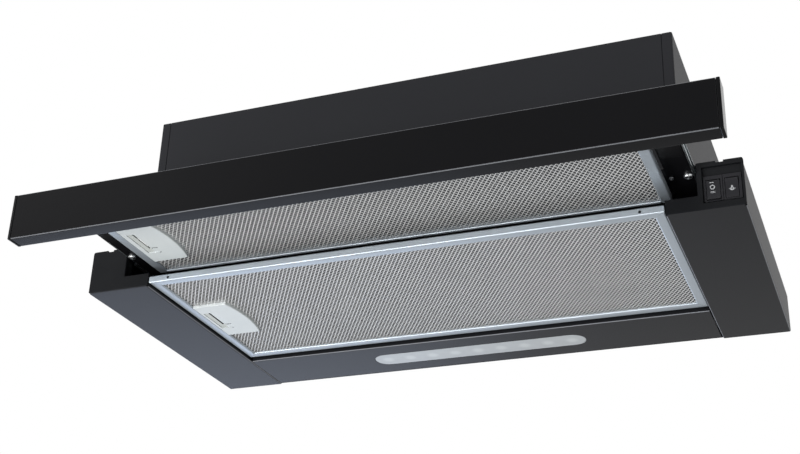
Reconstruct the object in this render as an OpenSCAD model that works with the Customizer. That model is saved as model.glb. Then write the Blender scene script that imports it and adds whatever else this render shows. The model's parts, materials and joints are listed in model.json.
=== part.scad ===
// Pull-out range hood, shown with its slider out.
// The base carries a fixed filter, a lamp panel and two slide runners. The slider carries
// the fascia and a second filter. The housing on top holds the blower and the outlet.
// Millimetres, +Z up, +X to the right, +Y to the back. The origin lies on the underside,
// in the middle of the footprint with the slider out.

/* [Base] */
// Width across the side walls of the base
base_w = 598; // [594:1:598]
// Depth of the base
base_d = 279; // [277:1:282]
// Y of the back of the base
base_back = 200; // [200:1:202]
// Height of the folded side walls
wall_h = 36.5; // [36:0.5:37]
// Height of the plastic end caps and of the raised middle of the deck
cap_h = 42; // [42:0.5:43]
// Width of the wing beside the filters, left and right
wing_w = 63; // [62:0.5:63]
// Thickness of the sheet steel
sheet = 1; // [0.8:0.1:1]

/* [Slider] */
// How far the slider travels
slide_travel = 104; // [100:1:105]
// Width across the fascia, end caps included
fascia_w = 602; // [598:1:604]
// Height of the fascia
fascia_h = 42; // [40:0.5:43]
// Depth of the fascia
fascia_d = 16.4; // [14:0.2:18]
// Width of each fascia end cap
fascia_cap_w = 3; // [3:0.5:5]
// Width of the black side members
member_w = 20.3; // [20:0.1:20.4]

/* [Filters] */
// Width of the rear filter
rear_filter_w = 471; // [468:1:471]
// Depth of the rear filter
rear_filter_d = 202.5; // [200:0.5:203]
// Width of the front filter
front_filter_w = 477; // [474:1:477]
// Depth of the front filter
front_filter_d = 121; // [118:1:122]
// Thickness of both filter frames
filter_t = 6.7; // [6.5:0.1:7]
// Width of the flat border of a filter frame
filter_border = 9; // [8:0.5:10]
// Length of a filter handle
handle_l = 72; // [70:1:74]
// How far a latch draws back
latch_travel = 4; // [3.6:0.1:4]

/* [Lamp] */
// Length of the lamp lens
lens_l = 220; // [200:5:230]
// Width of the lamp lens
lens_w = 27; // [25:1:28]
// Number of LEDs
led_count = 9; // [6:1:9]

/* [Housing] */
// Width of the housing
housing_w = 497.4; // [490:0.5:498]
// Depth of the housing
housing_d = 263.5; // [262:0.5:264]
// Height of the housing's top above the underside of the base
housing_top_z = 178.3; // [178:0.1:180]
// Width of the front flanges of the side panels
side_flange = 9; // [8:0.5:10]

/* [Blower] */
// Outer radius of the impeller
impeller_r = 52; // [50:1:52]
// Width of the impeller
impeller_w = 92; // [88:2:92]
// Blades on the impeller
blade_count = 28; // [20:2:32]
// Outer radius of the outlet collar
collar_r = 60; // [60:1:62]
// Height of the collar's top above the underside of the base
collar_top_z = 208; // [206:1:210]

/* [Hidden] */
$fn = 64;
base_half = base_w / 2;
base_front = base_back - base_d;
wing_in = base_half - wing_w;
deck_half = 268;
shelf_front = base_front + 7.5;
upstand_h = 12;

// End caps: an L-shaped face, low beside the filters
cap_in = 262;
cap_face = 2.5;
cap_ledge_h = 13;
cap_depth = 14;

// Heights in the slide: member, rail, liner and runner
member_z = 32;
member_top = 39.5;
member_in = 239.5;
member_out = member_in + member_w;
rail_t = 1.5;
rail_out = member_out + rail_t;
liner_gap = 0.1;
liner_t = 0.4;
liner_web = 0.8;
runner_z = member_z - liner_gap - liner_t - sheet;
runner_web_x = rail_out + liner_gap + liner_web;
runner_lip_x = 260.2;
deck_under = cap_h - sheet;

// Slider, at its outer end of travel
fascia_gap = 0.6;
fascia_back = base_front - slide_travel - fascia_gap;
fascia_front = fascia_back - fascia_d;
fascia_z = 1.3;
fascia_half = fascia_w / 2;
member_back = 40;
rail_back = member_back;
screw_x = 255.8;
rivet_x = 242.4;

// Filters
rear_filter_z = 3;
rear_filter_front = base_front + 0.5;
rear_filter_mid = rear_filter_front + rear_filter_d / 2;
front_filter_z = 22.5;
front_filter_mid = base_front - 38;
handle_w = 34.5;
handle_bulge = 5;
handle_proud = 0.5;
handle_wall = 1.2;
mesh_t = 1.2;
hook_w = 12;
hook_pitch = 90;
front_hook_pitch = 60;
// Finger opening of a handle, from the handle's left edge and its middle: an L
finger_x = [4, 10, 17];
finger_y = [-20.8, 8.7, 16.5];
latch_end = finger_x[1] + 11;

// Lamp panel
lamp_front = base_front + 207;
lamp_back = base_front + 275.5;
lamp_half = 235;
lens_y = base_front + 242;

// Housing
housing_half = housing_w / 2;
housing_front_y = base_front + 11.5;
housing_back_y = housing_front_y + housing_d;
housing_in_top = housing_top_z - sheet;
side_hole_r = 2.25;
side_hole_y = [-30, 150];
side_hole_z = 142;
screw_in = 7.5;
back_screw_z = [62, 110, 158];
foot_screw_y = [0, 140];

// Blower
fan_y = 33;
fan_z = 112;
scroll_r = 62;
scroll_wall = 2;
scroll_half = 52;
inlet_r = 43;
shaft_r = 3;
shaft_clear = 0.05;
motor_r = 31;
motor_end = -70;
duct_w = 62;

// Outlet collar with its two flaps
outlet_y = fan_y + duct_w / 2;
collar_in_r = collar_r - 2.5;
collar_flange_r = 72;
collar_flange_t = 2;
collar_screw_r = 66;
pin_r = 1.5;
pin_x = 4;
pin_z = 191;
flap_r = 56;
flap_t = 1.2;

// Cable gland on the top
gland_x = 200;
gland_y = 160;
gland_r = 8;
cord_hole_r = 3.6;

// Switch that the left member works
plunger_x = -250;
plunger_z = 36;
plunger_y = member_back + slide_travel + 1;

// Rocker switches
recess_y = base_front + 5;
rocker_pivot_y = base_front + 5;
rocker_half_h = 8.3;
axle_r = 1.5;
axle_reach = 1.1;
rocker_z = 17.75;
speed_x = [268.8, 279.5];
light_x = [283.5, 293.7];
light_tilt = 7;

paint = "#26272a";
black_plastic = "#2b2b2e";
zinc = "#b9bec4";
bare_aluminium = "#aeb8c0";
grey_plastic = "#c8cfd0";

// A box between its lowest and its highest corner
module block(low, high) translate(low) cube(high - low);

// Draws a right-hand shape on the right, or mirrored on the left
module sided(side) {
    if (side < 0) mirror([1, 0, 0]) children();
    else children();
}

module pan_screw(head_r, head_h, shank_r, shank_l) {
    // Head below the origin, shank above it, cross recess in the head
    difference() {
        translate([0, 0, -head_h]) cylinder(r1 = head_r * 0.75, r2 = head_r, h = head_h, $fn = 32);
        for (turn = [0, 90])
            rotate([0, 0, turn])
                translate([-head_r * 0.55, -0.5, -head_h - 1]) cube([head_r * 1.1, 1, 1 + head_h * 0.5]);
    }
    cylinder(r = shank_r, h = shank_l, $fn = 24);
}

/* ---- Base ---- */

module base_deck() color(paint) difference() {
    union() {
        block([-deck_half, base_front + cap_face, deck_under], [deck_half, base_back - sheet, cap_h]);
        for (side = [-1, 1]) sided(side) {
            block([deck_half, shelf_front, wall_h - sheet], [base_half - sheet, base_back - sheet, wall_h]);
            block([deck_half - sheet, shelf_front, wall_h - sheet],
                [deck_half, base_back - sheet, deck_under]);
        }
        block([-base_half + sheet, base_back - sheet, sheet], [base_half - sheet, base_back, wall_h]);
        block([-deck_half, base_back - sheet, wall_h], [deck_half, base_back, cap_h]);
    }
    // Air way from the filters up to the blower
    block([-205, -20, deck_under - 1], [205, 150, cap_h + 1]);
    housing_foot_holes();
}

module wing_sheet(side) sided(side) {
    block([wing_in, base_front, 0], [base_half, base_back, sheet]);
    block([base_half - sheet, base_front + cap_face, sheet], [base_half, base_back, wall_h]);
    block([wing_in, base_front + cap_face, sheet], [wing_in + sheet, base_back - sheet, upstand_h]);
}

module left_wing_cover() color(paint) difference() {
    wing_sheet(-1);
    // Slot for the tongue of the rear filter's latch
    block([-wing_in - 2, rear_filter_mid - 9, 4.4], [-wing_in + 1, rear_filter_mid + 9, 8.8]);
}

module right_wing_cover() color(paint) difference() {
    wing_sheet(1);
    // Open notches for the two hooks of the rear filter
    for (y = [-1, 1] * hook_pitch / 2)
        block([wing_in - 1, rear_filter_mid + y - hook_w / 2 - 1, 7.4],
            [wing_in + 2, rear_filter_mid + y + hook_w / 2 + 1, upstand_h + 1]);
}

// Outline of an end cap seen from the front: X from the wing's inner edge, then Z
module cap_outline() {
    corner_r = 2;
    difference() {
        union() {
            translate([wing_in, sheet]) square([wing_w, cap_ledge_h - sheet]);
            translate([cap_in, sheet]) square([base_half - cap_in - corner_r, cap_h - sheet]);
            translate([cap_in, sheet]) square([base_half - cap_in, cap_h - sheet - corner_r]);
            translate([base_half - corner_r, cap_h - corner_r]) circle(r = corner_r, $fn = 32);
        }
        // Shallow notch in the top edge
        translate([277.5, cap_h - 1.5]) square([6, 3]);
    }
}

module cap_shell() {
    // Face plate
    translate([0, base_front + cap_face, 0]) rotate([90, 0, 0]) linear_extrude(cap_face) cap_outline();
    // Low box behind the ledge and the taller box beside it
    difference() {
        union() {
            block([wing_in + sheet + 0.5, base_front + cap_face, sheet],
                [cap_in + 2, base_front + cap_depth, cap_ledge_h]);
            block([cap_in + 2, base_front + cap_face, sheet],
                [base_half - sheet, base_front + cap_depth, wall_h - sheet]);
        }
        block([wing_in + sheet + 2.5, base_front + cap_face, sheet + 1.5],
            [cap_in + 0.5, base_front + cap_depth + 1, cap_ledge_h - 1.5]);
        block([cap_in + 3.5, base_front + cap_face, sheet + 1.5],
            [base_half - sheet - 1.5, base_front + cap_depth + 1, wall_h - sheet - 1.5]);
    }
}

module left_end_cap() color(black_plastic) sided(-1) cap_shell();

module control_box() color(black_plastic) {
    window_low = [266, 6];
    window_high = [297, 37.6];
    tub_wall = 1.3;
    tub_front = base_front + cap_face - 1;
    tub_crest = base_front + cap_face + 1.1; // The roof runs level as far as here, then slopes down
    difference() {
        union() {
            cap_shell();
            // Tub behind the window, with a sloping top
            translate([window_low[0] - tub_wall, 0, 0]) rotate([90, 0, 90])
                linear_extrude(window_high[0] - window_low[0] + tub_wall + 0.7)
                    polygon([[tub_front, window_low[1] - tub_wall],
                        [recess_y + tub_wall, window_low[1] - tub_wall],
                        [recess_y + tub_wall, 31.5],
                        [tub_crest, window_high[1] + tub_wall],
                        [tub_front, window_high[1] + tub_wall]]);
        }
        translate([window_low[0], 0, 0]) rotate([90, 0, 90])
            linear_extrude(window_high[0] - window_low[0])
                polygon([[base_front - 1, window_low[1]], [recess_y, window_low[1]], [recess_y, 30],
                    [base_front + cap_face, window_high[1]], [base_front - 1, window_high[1]]]);
        // Opening for the two switches
        block([267.2, recess_y - 1, 8.3], [296, recess_y + 3, 29]);
    }
}

// Frame and body of one rocker switch, with the well that the rocker tilts in
module switch_body(frame_x, rocker_x) {
    gap = 0.35;
    well_half = rocker_half_h + 0.5;
    well_top = rocker_z + well_half + 0.6;
    front = base_front + 2.6;
    difference() {
        union() {
            block([frame_x[0], front, 7.8], [frame_x[1], recess_y, 30.3]);
            block([frame_x[0] + 0.8, recess_y, 8.4], [frame_x[1] - 0.8, base_front + 24, 28.6]);
        }
        block([rocker_x[0] - gap, front - 1, rocker_z - well_half],
            [rocker_x[1] + gap, base_front + 15, well_top]);
        // Holes in the sides of the well for the rocker's axle
        translate([rocker_x[0] - axle_reach - 0.1, rocker_pivot_y, rocker_z]) rotate([0, 90, 0])
            cylinder(r = axle_r + 0.07, h = rocker_x[1] - rocker_x[0] + 2 * axle_reach + 0.2, $fn = 32);
    }
    // Contact blades at the back
    for (z = [11.5, 17.75, 24])
        block([(rocker_x[0] + rocker_x[1]) / 2 - 2.4, base_front + 24, z - 0.4],
            [(rocker_x[0] + rocker_x[1]) / 2 + 2.4, base_front + 31, z + 0.4]);
}

module speed_switch() color(black_plastic) switch_body([266.5, 281.5], speed_x);
module light_switch() color(black_plastic) switch_body([281.8, 296.4], light_x);

// Rocker seen from the side: a shallow V front over a round pivot drum
module rocker(x, tilt) {
    face_end = rocker_half_h - 0.4;
    translate([x[0], rocker_pivot_y, rocker_z]) rotate([tilt, 0, 0]) rotate([90, 0, 90]) {
        linear_extrude(x[1] - x[0])
            polygon([[-3.4, -face_end], [-2.2, 0], [-3.4, face_end], [-2.9, face_end + 0.3],
                [1, rocker_half_h], [2, 5], [2, -5], [1, -rocker_half_h], [-2.9, -face_end - 0.3]]);
        translate([2.5, 0, 0.5]) cylinder(r = 4.4, h = x[1] - x[0] - 1, $fn = 32);
        // Axle stubs in the sides of the switch
        translate([0, 0, -axle_reach]) cylinder(r = axle_r, h = x[1] - x[0] + 2 * axle_reach, $fn = 32);
    }
}

module speed_rocker() color("#303034") rocker(speed_x, 0);
module light_rocker() color("#303034") rocker(light_x, light_tilt);

/* ---- Lamp panel ---- */

module stadium(length, width) {
    square([length - width, width], center = true);
    for (side = [-1, 1]) translate([side * (length - width) / 2, 0]) circle(d = width, $fn = 48);
}

module lamp_panel() color(paint) {
    difference() {
        block([-lamp_half, lamp_front, 0], [lamp_half, lamp_back, sheet]);
        translate([0, lens_y, -1]) linear_extrude(sheet + 2) stadium(lens_l + 0.4, lens_w + 0.4);
    }
    block([-lamp_half, lamp_front, sheet], [lamp_half, lamp_front + sheet, upstand_h]);
    block([-lamp_half, lamp_back - sheet, sheet], [lamp_half, lamp_back, upstand_h]);
    // Lugs at the ends, fixed to the wings
    for (side = [-1, 1]) sided(side)
        block([lamp_half - 14, lamp_front + 20, sheet], [wing_in, lamp_front + 44, 3]);
}

module lamp_lens() color("#dfe4e2") {
    translate([0, lens_y, 0]) linear_extrude(sheet + 0.1) stadium(lens_l, lens_w);
    translate([0, lens_y, sheet + 0.05]) linear_extrude(1.5) stadium(lens_l + 5, lens_w + 5);
    for (side = [-1, 1])
        block([side * 80 - 4, lens_y - 15.5, sheet + 1], [side * 80 + 4, lens_y - 14, 7]);
}

module led_board() color("#f2f4f0") {
    block([-lens_l / 2 + 2, lens_y - 9, 12], [lens_l / 2 - 2, lens_y + 9, 13.6]);
    led_pitch = (lens_l - lens_w) / (led_count - 1);
    for (i = [0 : led_count - 1])
        translate([(i - (led_count - 1) / 2) * led_pitch, lens_y, 11.25])
            cube([3.5, 3.5, 1.5], center = true);
}

module lamp_tray() color(zinc) difference() {
    block([-lens_l / 2 - 8, lens_y - 17.5, sheet], [lens_l / 2 + 8, lens_y + 17.5, 15.1]);
    block([-lens_l / 2 - 6.5, lens_y - 16, sheet - 1], [lens_l / 2 + 6.5, lens_y + 16, 13.6]);
    // Cable way in the end
    translate([lens_l / 2, lens_y, 8]) rotate([0, 90, 0]) cylinder(r = 3, h = 20, $fn = 24);
}

module led_driver() color("#e8e8e4") {
    block([250, 140, sheet], [284, 190, 22]);
    block([244, 146, sheet], [250, 152, 3]);
    block([284, 178, sheet], [290, 184, 3]);
}

/* ---- Filters ---- */

// Hollow border of folded aluminium: outer wall, flat border below and above, rolled inner bead
module filter_frame(width, depth, z, mid) {
    bead = 1;
    half_w = width / 2;
    half_d = depth / 2;
    translate([0, mid, z]) {
        difference() {
            block([-half_w, -half_d, 0], [half_w, half_d, filter_t]);
            block([-half_w + filter_border, -half_d + filter_border, -1],
                [half_w - filter_border, half_d - filter_border, filter_t + 1]);
            block([-half_w + 0.8, -half_d + 0.8, 0.8], [half_w - 0.8, half_d - 0.8, filter_t - 0.8]);
            // Drain holes in the front edge
            for (side = [-1, 1])
                translate([side * (half_w - 19.5), -half_d - 1, filter_t / 2]) rotate([-90, 0, 0])
                    cylinder(r = 1.3, h = 3, $fn = 24);
        }
        for (end = [-1, 1])
            translate([-half_w + filter_border, end * (half_d - filter_border), bead]) rotate([0, 90, 0])
                cylinder(r = bead, h = width - 2 * filter_border, $fn = 24);
    }
}

// Outline of a handle, from its left edge and its middle, with a bulging inner edge
module handle_outline() {
    half_l = handle_l / 2;
    arc_r = (half_l * half_l + handle_bulge * handle_bulge) / (2 * handle_bulge);
    intersection() {
        translate([0, -half_l]) square([handle_w + handle_bulge, handle_l]);
        translate([handle_w + handle_bulge - arc_r, 0]) circle(r = arc_r, $fn = 180);
    }
}

// Sheet of mesh, with a field of diamond openings
module filter_mesh(width, depth, z, mid) {
    border = filter_border - 1.5;
    pitch_x = 20;
    pitch_y = 13;
    columns = floor((width - 2 * border - 30) / pitch_x);
    rows = floor((depth - 2 * border - 16) / pitch_y);
    translate([0, mid, z + 2.1]) linear_extrude(mesh_t) difference() {
        square([width - 2 * border, depth - 2 * border], center = true);
        translate([handle_left(width), 0]) {
            handle_outline();
            // Open to the frame's border, where the latch passes
            translate([-3, -handle_l / 2 - 0.3]) square([handle_w + 3, handle_l + 0.6]);
            translate([0.4, 0]) handle_outline();
        }
        for (row = [0 : rows - 1], column = [0 : columns - 1]) {
            x = (column - (columns - 1) / 2 + (row % 2) / 2 - 0.25) * pitch_x;
            y = (row - (rows - 1) / 2) * pitch_y;
            if (x > handle_left(width) + handle_w + handle_bulge + 10 || abs(y) > handle_l / 2 + 8)
                translate([x, y]) polygon([[-7.8, 0], [0, -4.2], [7.8, 0], [0, 4.2]]);
        }
    }
}

function handle_left(width) = -width / 2 + filter_border;

module filter_handle(width, z, mid) {
    translate([handle_left(width), mid, z - handle_proud]) difference() {
        linear_extrude(filter_t - 0.2) handle_outline();
        // Well behind the face, open to the border of the frame for the latch
        block([-1, finger_y[0] - 3, handle_wall],
            [latch_end + latch_travel + 3, finger_y[2] + 3, filter_t + 1]);
        // Finger opening
        block([finger_x[0], finger_y[0], -1], [finger_x[1], finger_y[2], 3]);
        block([finger_x[0], finger_y[1], -1], [finger_x[2], finger_y[2], 3]);
        // Small slot beside the opening
        block([15, 17.6, -1], [21, 18.6, 3]);
    }
}

// Latch: a slide behind the handle's face, sloped where the fingers push it,
// with a tongue that reaches past the side of the filter
module filter_latch(width, z, mid, tongue_z, tongue_out) {
    half_tongue = 7;
    plate_z = 3;
    translate([handle_left(width), mid, z - handle_proud]) {
        // Sloped finger plate
        translate([0, finger_y[2] - 0.3, 0]) rotate([90, 0, 0])
            linear_extrude(finger_y[2] - finger_y[0] - 0.6)
                polygon([[finger_x[0] + 0.3, 0.6], [finger_x[1] + 0.2, plate_z], [latch_end, plate_z],
                    [latch_end, plate_z + 1.6], [finger_x[0] + 0.3, plate_z + 1.6]]);
        // Tongue, stepped up to its height
        block([-filter_border - tongue_out, -half_tongue, tongue_z],
            [finger_x[0] + 6, half_tongue, tongue_z + 2]);
        if (tongue_z > plate_z)
            block([finger_x[0] + 2, -half_tongue, plate_z], [finger_x[0] + 6, half_tongue, tongue_z + 1]);
    }
}

module rear_filter_frame() color(bare_aluminium) difference() {
    union() {
        filter_frame(rear_filter_w, rear_filter_d, rear_filter_z, rear_filter_mid);
        // Hooks that rest in the right wing
        for (y = [-1, 1] * hook_pitch / 2)
            block([rear_filter_w / 2 - 5, rear_filter_mid + y - hook_w / 2, rear_filter_z + filter_t - 0.8],
                [rear_filter_w / 2 + 4.5, rear_filter_mid + y + hook_w / 2, rear_filter_z + filter_t]);
    }
    block([-rear_filter_w / 2 - 1, rear_filter_mid - 8, rear_filter_z + 1.2],
        [-rear_filter_w / 2 + filter_border + 1, rear_filter_mid + 8, rear_filter_z + filter_t - 1]);
}

module rear_filter_mesh() color("#9aa2a8")
    filter_mesh(rear_filter_w, rear_filter_d, rear_filter_z, rear_filter_mid);

module rear_filter_handle() color(grey_plastic)
    filter_handle(rear_filter_w, rear_filter_z, rear_filter_mid);

module rear_filter_latch() color(grey_plastic)
    filter_latch(rear_filter_w, rear_filter_z, rear_filter_mid, 2.6, latch_travel + 0.2);

module front_filter_frame() color(bare_aluminium) {
    filter_frame(front_filter_w, front_filter_d, front_filter_z, front_filter_mid);
    // Hooks that rest on the right slider member
    for (y = [-1, 1] * front_hook_pitch / 2) {
        low = front_filter_mid + y - hook_w / 2;
        block([front_filter_w / 2 - 2, low, front_filter_z + filter_t - 0.8],
            [front_filter_w / 2 - 1, low + hook_w, member_z + sheet + 1.4]);
        block([front_filter_w / 2 - 2, low, member_z + sheet + 0.4],
            [front_filter_w / 2 + 4.5, low + hook_w, member_z + sheet + 1.4]);
    }
}

module front_filter_mesh() color("#9aa2a8")
    filter_mesh(front_filter_w, front_filter_d, front_filter_z, front_filter_mid);

module front_filter_handle() color(grey_plastic)
    filter_handle(front_filter_w, front_filter_z, front_filter_mid);

module front_filter_latch() color(grey_plastic)
    filter_latch(front_filter_w, front_filter_z, front_filter_mid,
        member_z + sheet + 0.4 - front_filter_z + handle_proud, latch_travel + 0.5);

/* ---- Slider ---- */

module fascia_panel() color(paint) {
    half = fascia_half - fascia_cap_w;
    top = fascia_z + fascia_h;
    lower_lip = 7;
    upper_lip = 20;
    block([-half, fascia_front, fascia_z], [half, fascia_front + sheet, top]);
    block([-half, fascia_front + sheet, fascia_z], [half, fascia_back, fascia_z + sheet]);
    block([-half, fascia_front + sheet, top - sheet], [half, fascia_back, top]);
    block([-half, fascia_back - sheet, fascia_z + sheet], [half, fascia_back, fascia_z + lower_lip]);
    block([-half, fascia_back - sheet, top - upper_lip], [half, fascia_back, top - sheet]);
}

module fascia_cap(side) color(black_plastic) sided(side) {
    top = fascia_z + fascia_h;
    plug = 7;
    block([fascia_half - fascia_cap_w, fascia_front, fascia_z], [fascia_half, fascia_back, top]);
    difference() {
        block([fascia_half - fascia_cap_w - plug, fascia_front + sheet + 0.2, fascia_z + sheet + 0.2],
            [fascia_half - fascia_cap_w, fascia_back - sheet - 0.2, top - sheet - 0.2]);
        block([fascia_half - fascia_cap_w - plug - 1, fascia_front + sheet + 2.2, fascia_z + sheet + 2.2],
            [fascia_half - fascia_cap_w - 1, fascia_back - sheet - 2.2, top - sheet - 2.2]);
    }
}

module fascia_left_cap() fascia_cap(-1);
module fascia_right_cap() fascia_cap(1);

// Angle that ties the end of a member to the back of the fascia
module fascia_bracket(side) color("#1d1d20") sided(side) {
    plate = 2;
    low_x = member_in + 1.5;
    high_x = member_out - 1;
    block([low_x, fascia_back, member_z - 9], [high_x, fascia_back + plate, member_z]);
    block([low_x, fascia_back + plate, member_z - plate], [high_x, base_front - 37, member_z]);
}

module left_fascia_bracket() fascia_bracket(-1);
module right_fascia_bracket() fascia_bracket(1);

module slider_member(side) color("#1d1d20") difference() {
    sided(side) {
        block([member_in, fascia_back, member_z], [member_out, member_back, member_z + sheet]);
        block([member_in, fascia_back, member_z + sheet], [member_in + sheet, member_back, member_top]);
        block([member_out - sheet, fascia_back, member_z + sheet], [member_out, member_back, member_top]);
        block([member_in + sheet, fascia_back, member_z + sheet],
            [member_out - sheet, fascia_back + sheet, member_top]);
    }
    // Windows in the inner web, for the hooks or the tongue of the front filter
    if (side > 0)
        for (y = [-1, 1] * front_hook_pitch / 2)
            block([member_in - 1, front_filter_mid + y - hook_w / 2 - 1, member_z + sheet],
                [member_in + sheet + 0.5, front_filter_mid + y + hook_w / 2 + 1, member_z + sheet + 2.4]);
    if (side < 0)
        block([-member_in - sheet - 0.5, front_filter_mid - 8, member_z + sheet],
            [-member_in + 1, front_filter_mid + 8, member_z + sheet + 3.4]);
    // Screw and rivet holes
    for (x = [screw_x, rivet_x])
        translate([side * x, base_front, member_z - 1]) cylinder(r = 1.8, h = 3, $fn = 24);
}

module left_slider_member() slider_member(-1);
module right_slider_member() slider_member(1);

module slide_rail(side) color(zinc) sided(side)
    block([member_out, fascia_back + 4, member_z], [rail_out, rail_back, member_top]);

module left_slide_rail() slide_rail(-1);
module right_slide_rail() slide_rail(1);

module slider_crossbar() color("#1d1d20") {
    front = front_filter_mid + front_filter_d / 2 + 6;
    depth = 18;
    block([-member_in, front, member_top - sheet], [member_in, front + depth, member_top]);
    block([-member_in, front, member_z + sheet], [member_in, front + sheet, member_top - sheet]);
    block([-member_in, front + depth - sheet, member_z + sheet],
        [member_in, front + depth, member_top - sheet]);
}

module slider_screws() color("#c9ccd0") for (side = [-1, 1]) {
    translate([side * screw_x, base_front, member_z]) pan_screw(3.9, 2.5, 1.75, 5);
    translate([side * rivet_x, base_front, member_z]) {
        translate([0, 0, -1.2]) cylinder(r1 = 1.6, r2 = 2.2, h = 1.2, $fn = 24);
        cylinder(r = 1.75, h = 2, $fn = 24);
    }
}

module runner(side) color(zinc) sided(side) {
    front = base_front + cap_depth + 1;
    back = 190;
    block([runner_web_x, front, runner_z], [runner_web_x + sheet, back, deck_under]);
    block([runner_lip_x, front, runner_z], [runner_web_x, back, runner_z + sheet]);
    block([runner_lip_x, front, deck_under - sheet], [runner_web_x, back, deck_under]);
}

module left_runner() runner(-1);
module right_runner() runner(1);

module liner(side) color("#141416") sided(side) {
    front = base_front + cap_depth + 1;
    back = 186;
    low = runner_z + sheet;
    high = deck_under - sheet;
    block([runner_web_x - liner_web, front, low], [runner_web_x, back, high]);
    block([runner_lip_x, front, low], [runner_web_x - liner_web, back, low + liner_t]);
    block([runner_lip_x, front, high - liner_t], [runner_web_x - liner_web, back, high]);
}

module left_liner() liner(-1);
module right_liner() liner(1);

/* ---- Housing ---- */

// Holes for the four screws that fix the housing to the deck
module housing_foot_holes() {
    for (side = [-1, 1], y = foot_screw_y)
        translate([side * (housing_half - screw_in), y, deck_under - 1]) cylinder(r = 1.6, h = 4, $fn = 24);
}

module housing_front() color(paint) {
    half = housing_half - side_flange - 0.3;
    block([-half, housing_front_y, cap_h], [half, housing_front_y + sheet, housing_top_z]);
    block([-half, housing_front_y + sheet, cap_h], [half, housing_front_y + 15, cap_h + sheet]);
    // Strips that lie behind the flanges of the side panels
    for (side = [-1, 1]) sided(side)
        block([half - 8, housing_front_y + sheet, cap_h + 4],
            [half + 6, housing_front_y + 2 * sheet, housing_in_top - 2]);
}

module housing_side(side) color(paint) difference() {
    sided(side) {
        inner = housing_half - sheet;
        block([inner, housing_front_y, cap_h], [housing_half, housing_back_y, housing_top_z]);
        block([housing_half - side_flange, housing_front_y, cap_h],
            [inner, housing_front_y + sheet, housing_top_z]);
        block([housing_half - 14, housing_back_y - sheet, cap_h], [inner, housing_back_y, housing_top_z]);
        block([housing_half - 14, housing_front_y + 16, cap_h],
            [inner, housing_back_y - sheet, cap_h + sheet]);
    }
    housing_foot_holes();
    for (z = back_screw_z)
        translate([side * (housing_half - screw_in), housing_back_y, z]) rotate([90, 0, 0])
            cylinder(r = 1.6, h = 6, center = true, $fn = 24);
    // Holes for the screws into the sides of the cabinet
    for (y = side_hole_y)
        translate([side * housing_half, y, side_hole_z]) rotate([0, 90, 0])
            cylinder(r = side_hole_r, h = 6, center = true);
}

module housing_left() housing_side(-1);
module housing_right() housing_side(1);

module housing_back() color(paint)
    block([-housing_half + 14.2, housing_back_y - sheet, cap_h],
        [housing_half - 14.2, housing_back_y, housing_top_z]);

module housing_top() color(paint) difference() {
    union() {
        block([-housing_half + sheet, housing_front_y + sheet, housing_in_top],
            [housing_half - sheet, housing_back_y - sheet, housing_top_z]);
        // Folded lips down the back
        block([-housing_half + 20, housing_back_y - 2 * sheet, housing_in_top - 12],
            [housing_half - 20, housing_back_y - sheet, housing_in_top]);
    }
    translate([0, outlet_y, housing_in_top - 1]) cylinder(r = collar_in_r, h = 4, $fn = 96);
    translate([gland_x, gland_y, housing_in_top - 1]) cylinder(r = gland_r, h = 4);
    collar_screw_holes();
}

module housing_screws() color("#3a3b3f") {
    // Through the back flanges, heads outside
    for (side = [-1, 1], z = back_screw_z)
        translate([side * (housing_half - screw_in), housing_back_y, z]) rotate([90, 0, 0])
            pan_screw(3.4, 2.2, 1.5, 5);
    // Through the bottom flanges, heads above
    for (side = [-1, 1], y = foot_screw_y)
        translate([side * (housing_half - screw_in), y, cap_h + sheet]) rotate([180, 0, 0])
            pan_screw(3.4, 2.2, 1.5, 2);
}

/* ---- Blower ---- */

// Scroll seen along its axis: round body with a straight duct up
module scroll_outline(r, duct) {
    circle(r = r, $fn = 96);
    translate([scroll_r - duct_w - (r - scroll_r), 0]) square([duct, housing_in_top - fan_z]);
}

module along_x(from) translate([from, fan_y, fan_z]) rotate([90, 0, 90]) children();

module fan_scroll() color("#3c3f44") difference() {
    along_x(-scroll_half - scroll_wall) linear_extrude(2 * (scroll_half + scroll_wall))
        scroll_outline(scroll_r + scroll_wall, duct_w + 2 * scroll_wall);
    along_x(-scroll_half) linear_extrude(2 * scroll_half) {
        circle(r = scroll_r, $fn = 96);
        translate([scroll_r - duct_w, 0]) square([duct_w, housing_in_top - fan_z + 1]);
    }
    along_x(-scroll_half - scroll_wall - 1)
        cylinder(r = inlet_r, h = 2 * (scroll_half + scroll_wall) + 2, $fn = 96);
}

module impeller() color("#d8dadb") along_x(-impeller_w / 2) {
    blade_depth = 9;
    ring_w = 3;
    for (z = [0, impeller_w - ring_w]) translate([0, 0, z]) difference() {
        cylinder(r = impeller_r, h = ring_w, $fn = 96);
        translate([0, 0, -1]) cylinder(r = impeller_r - blade_depth, h = ring_w + 2, $fn = 96);
    }
    // Disc and hub that carry the blades
    translate([0, 0, impeller_w / 2]) difference() {
        union() {
            cylinder(r = impeller_r, h = 2, $fn = 96);
            cylinder(r = 9, h = 14);
        }
        translate([0, 0, -1]) cylinder(r = shaft_r + 0.02, h = 20);
    }
    for (i = [0 : blade_count - 1])
        rotate([0, 0, i * 360 / blade_count]) translate([impeller_r - blade_depth + 0.8, 0, 1])
            rotate([0, 0, 35]) cube([blade_depth - 0.9, 1, impeller_w - 2]);
}

module motor() color("#7d8288") difference() {
    union() {
        along_x(motor_end) cylinder(r = motor_r, h = 60);
        along_x(motor_end + 60) cylinder(r = 12, h = 6);
        // Lamination stack shows as a wider band
        along_x(motor_end + 16) cylinder(r = motor_r + 3, h = 26);
    }
    along_x(motor_end + 20) cylinder(r = shaft_r + shaft_clear, h = 60);
}

module motor_shaft() color(zinc) along_x(motor_end + 22) cylinder(r = shaft_r, h = 62);

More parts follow.
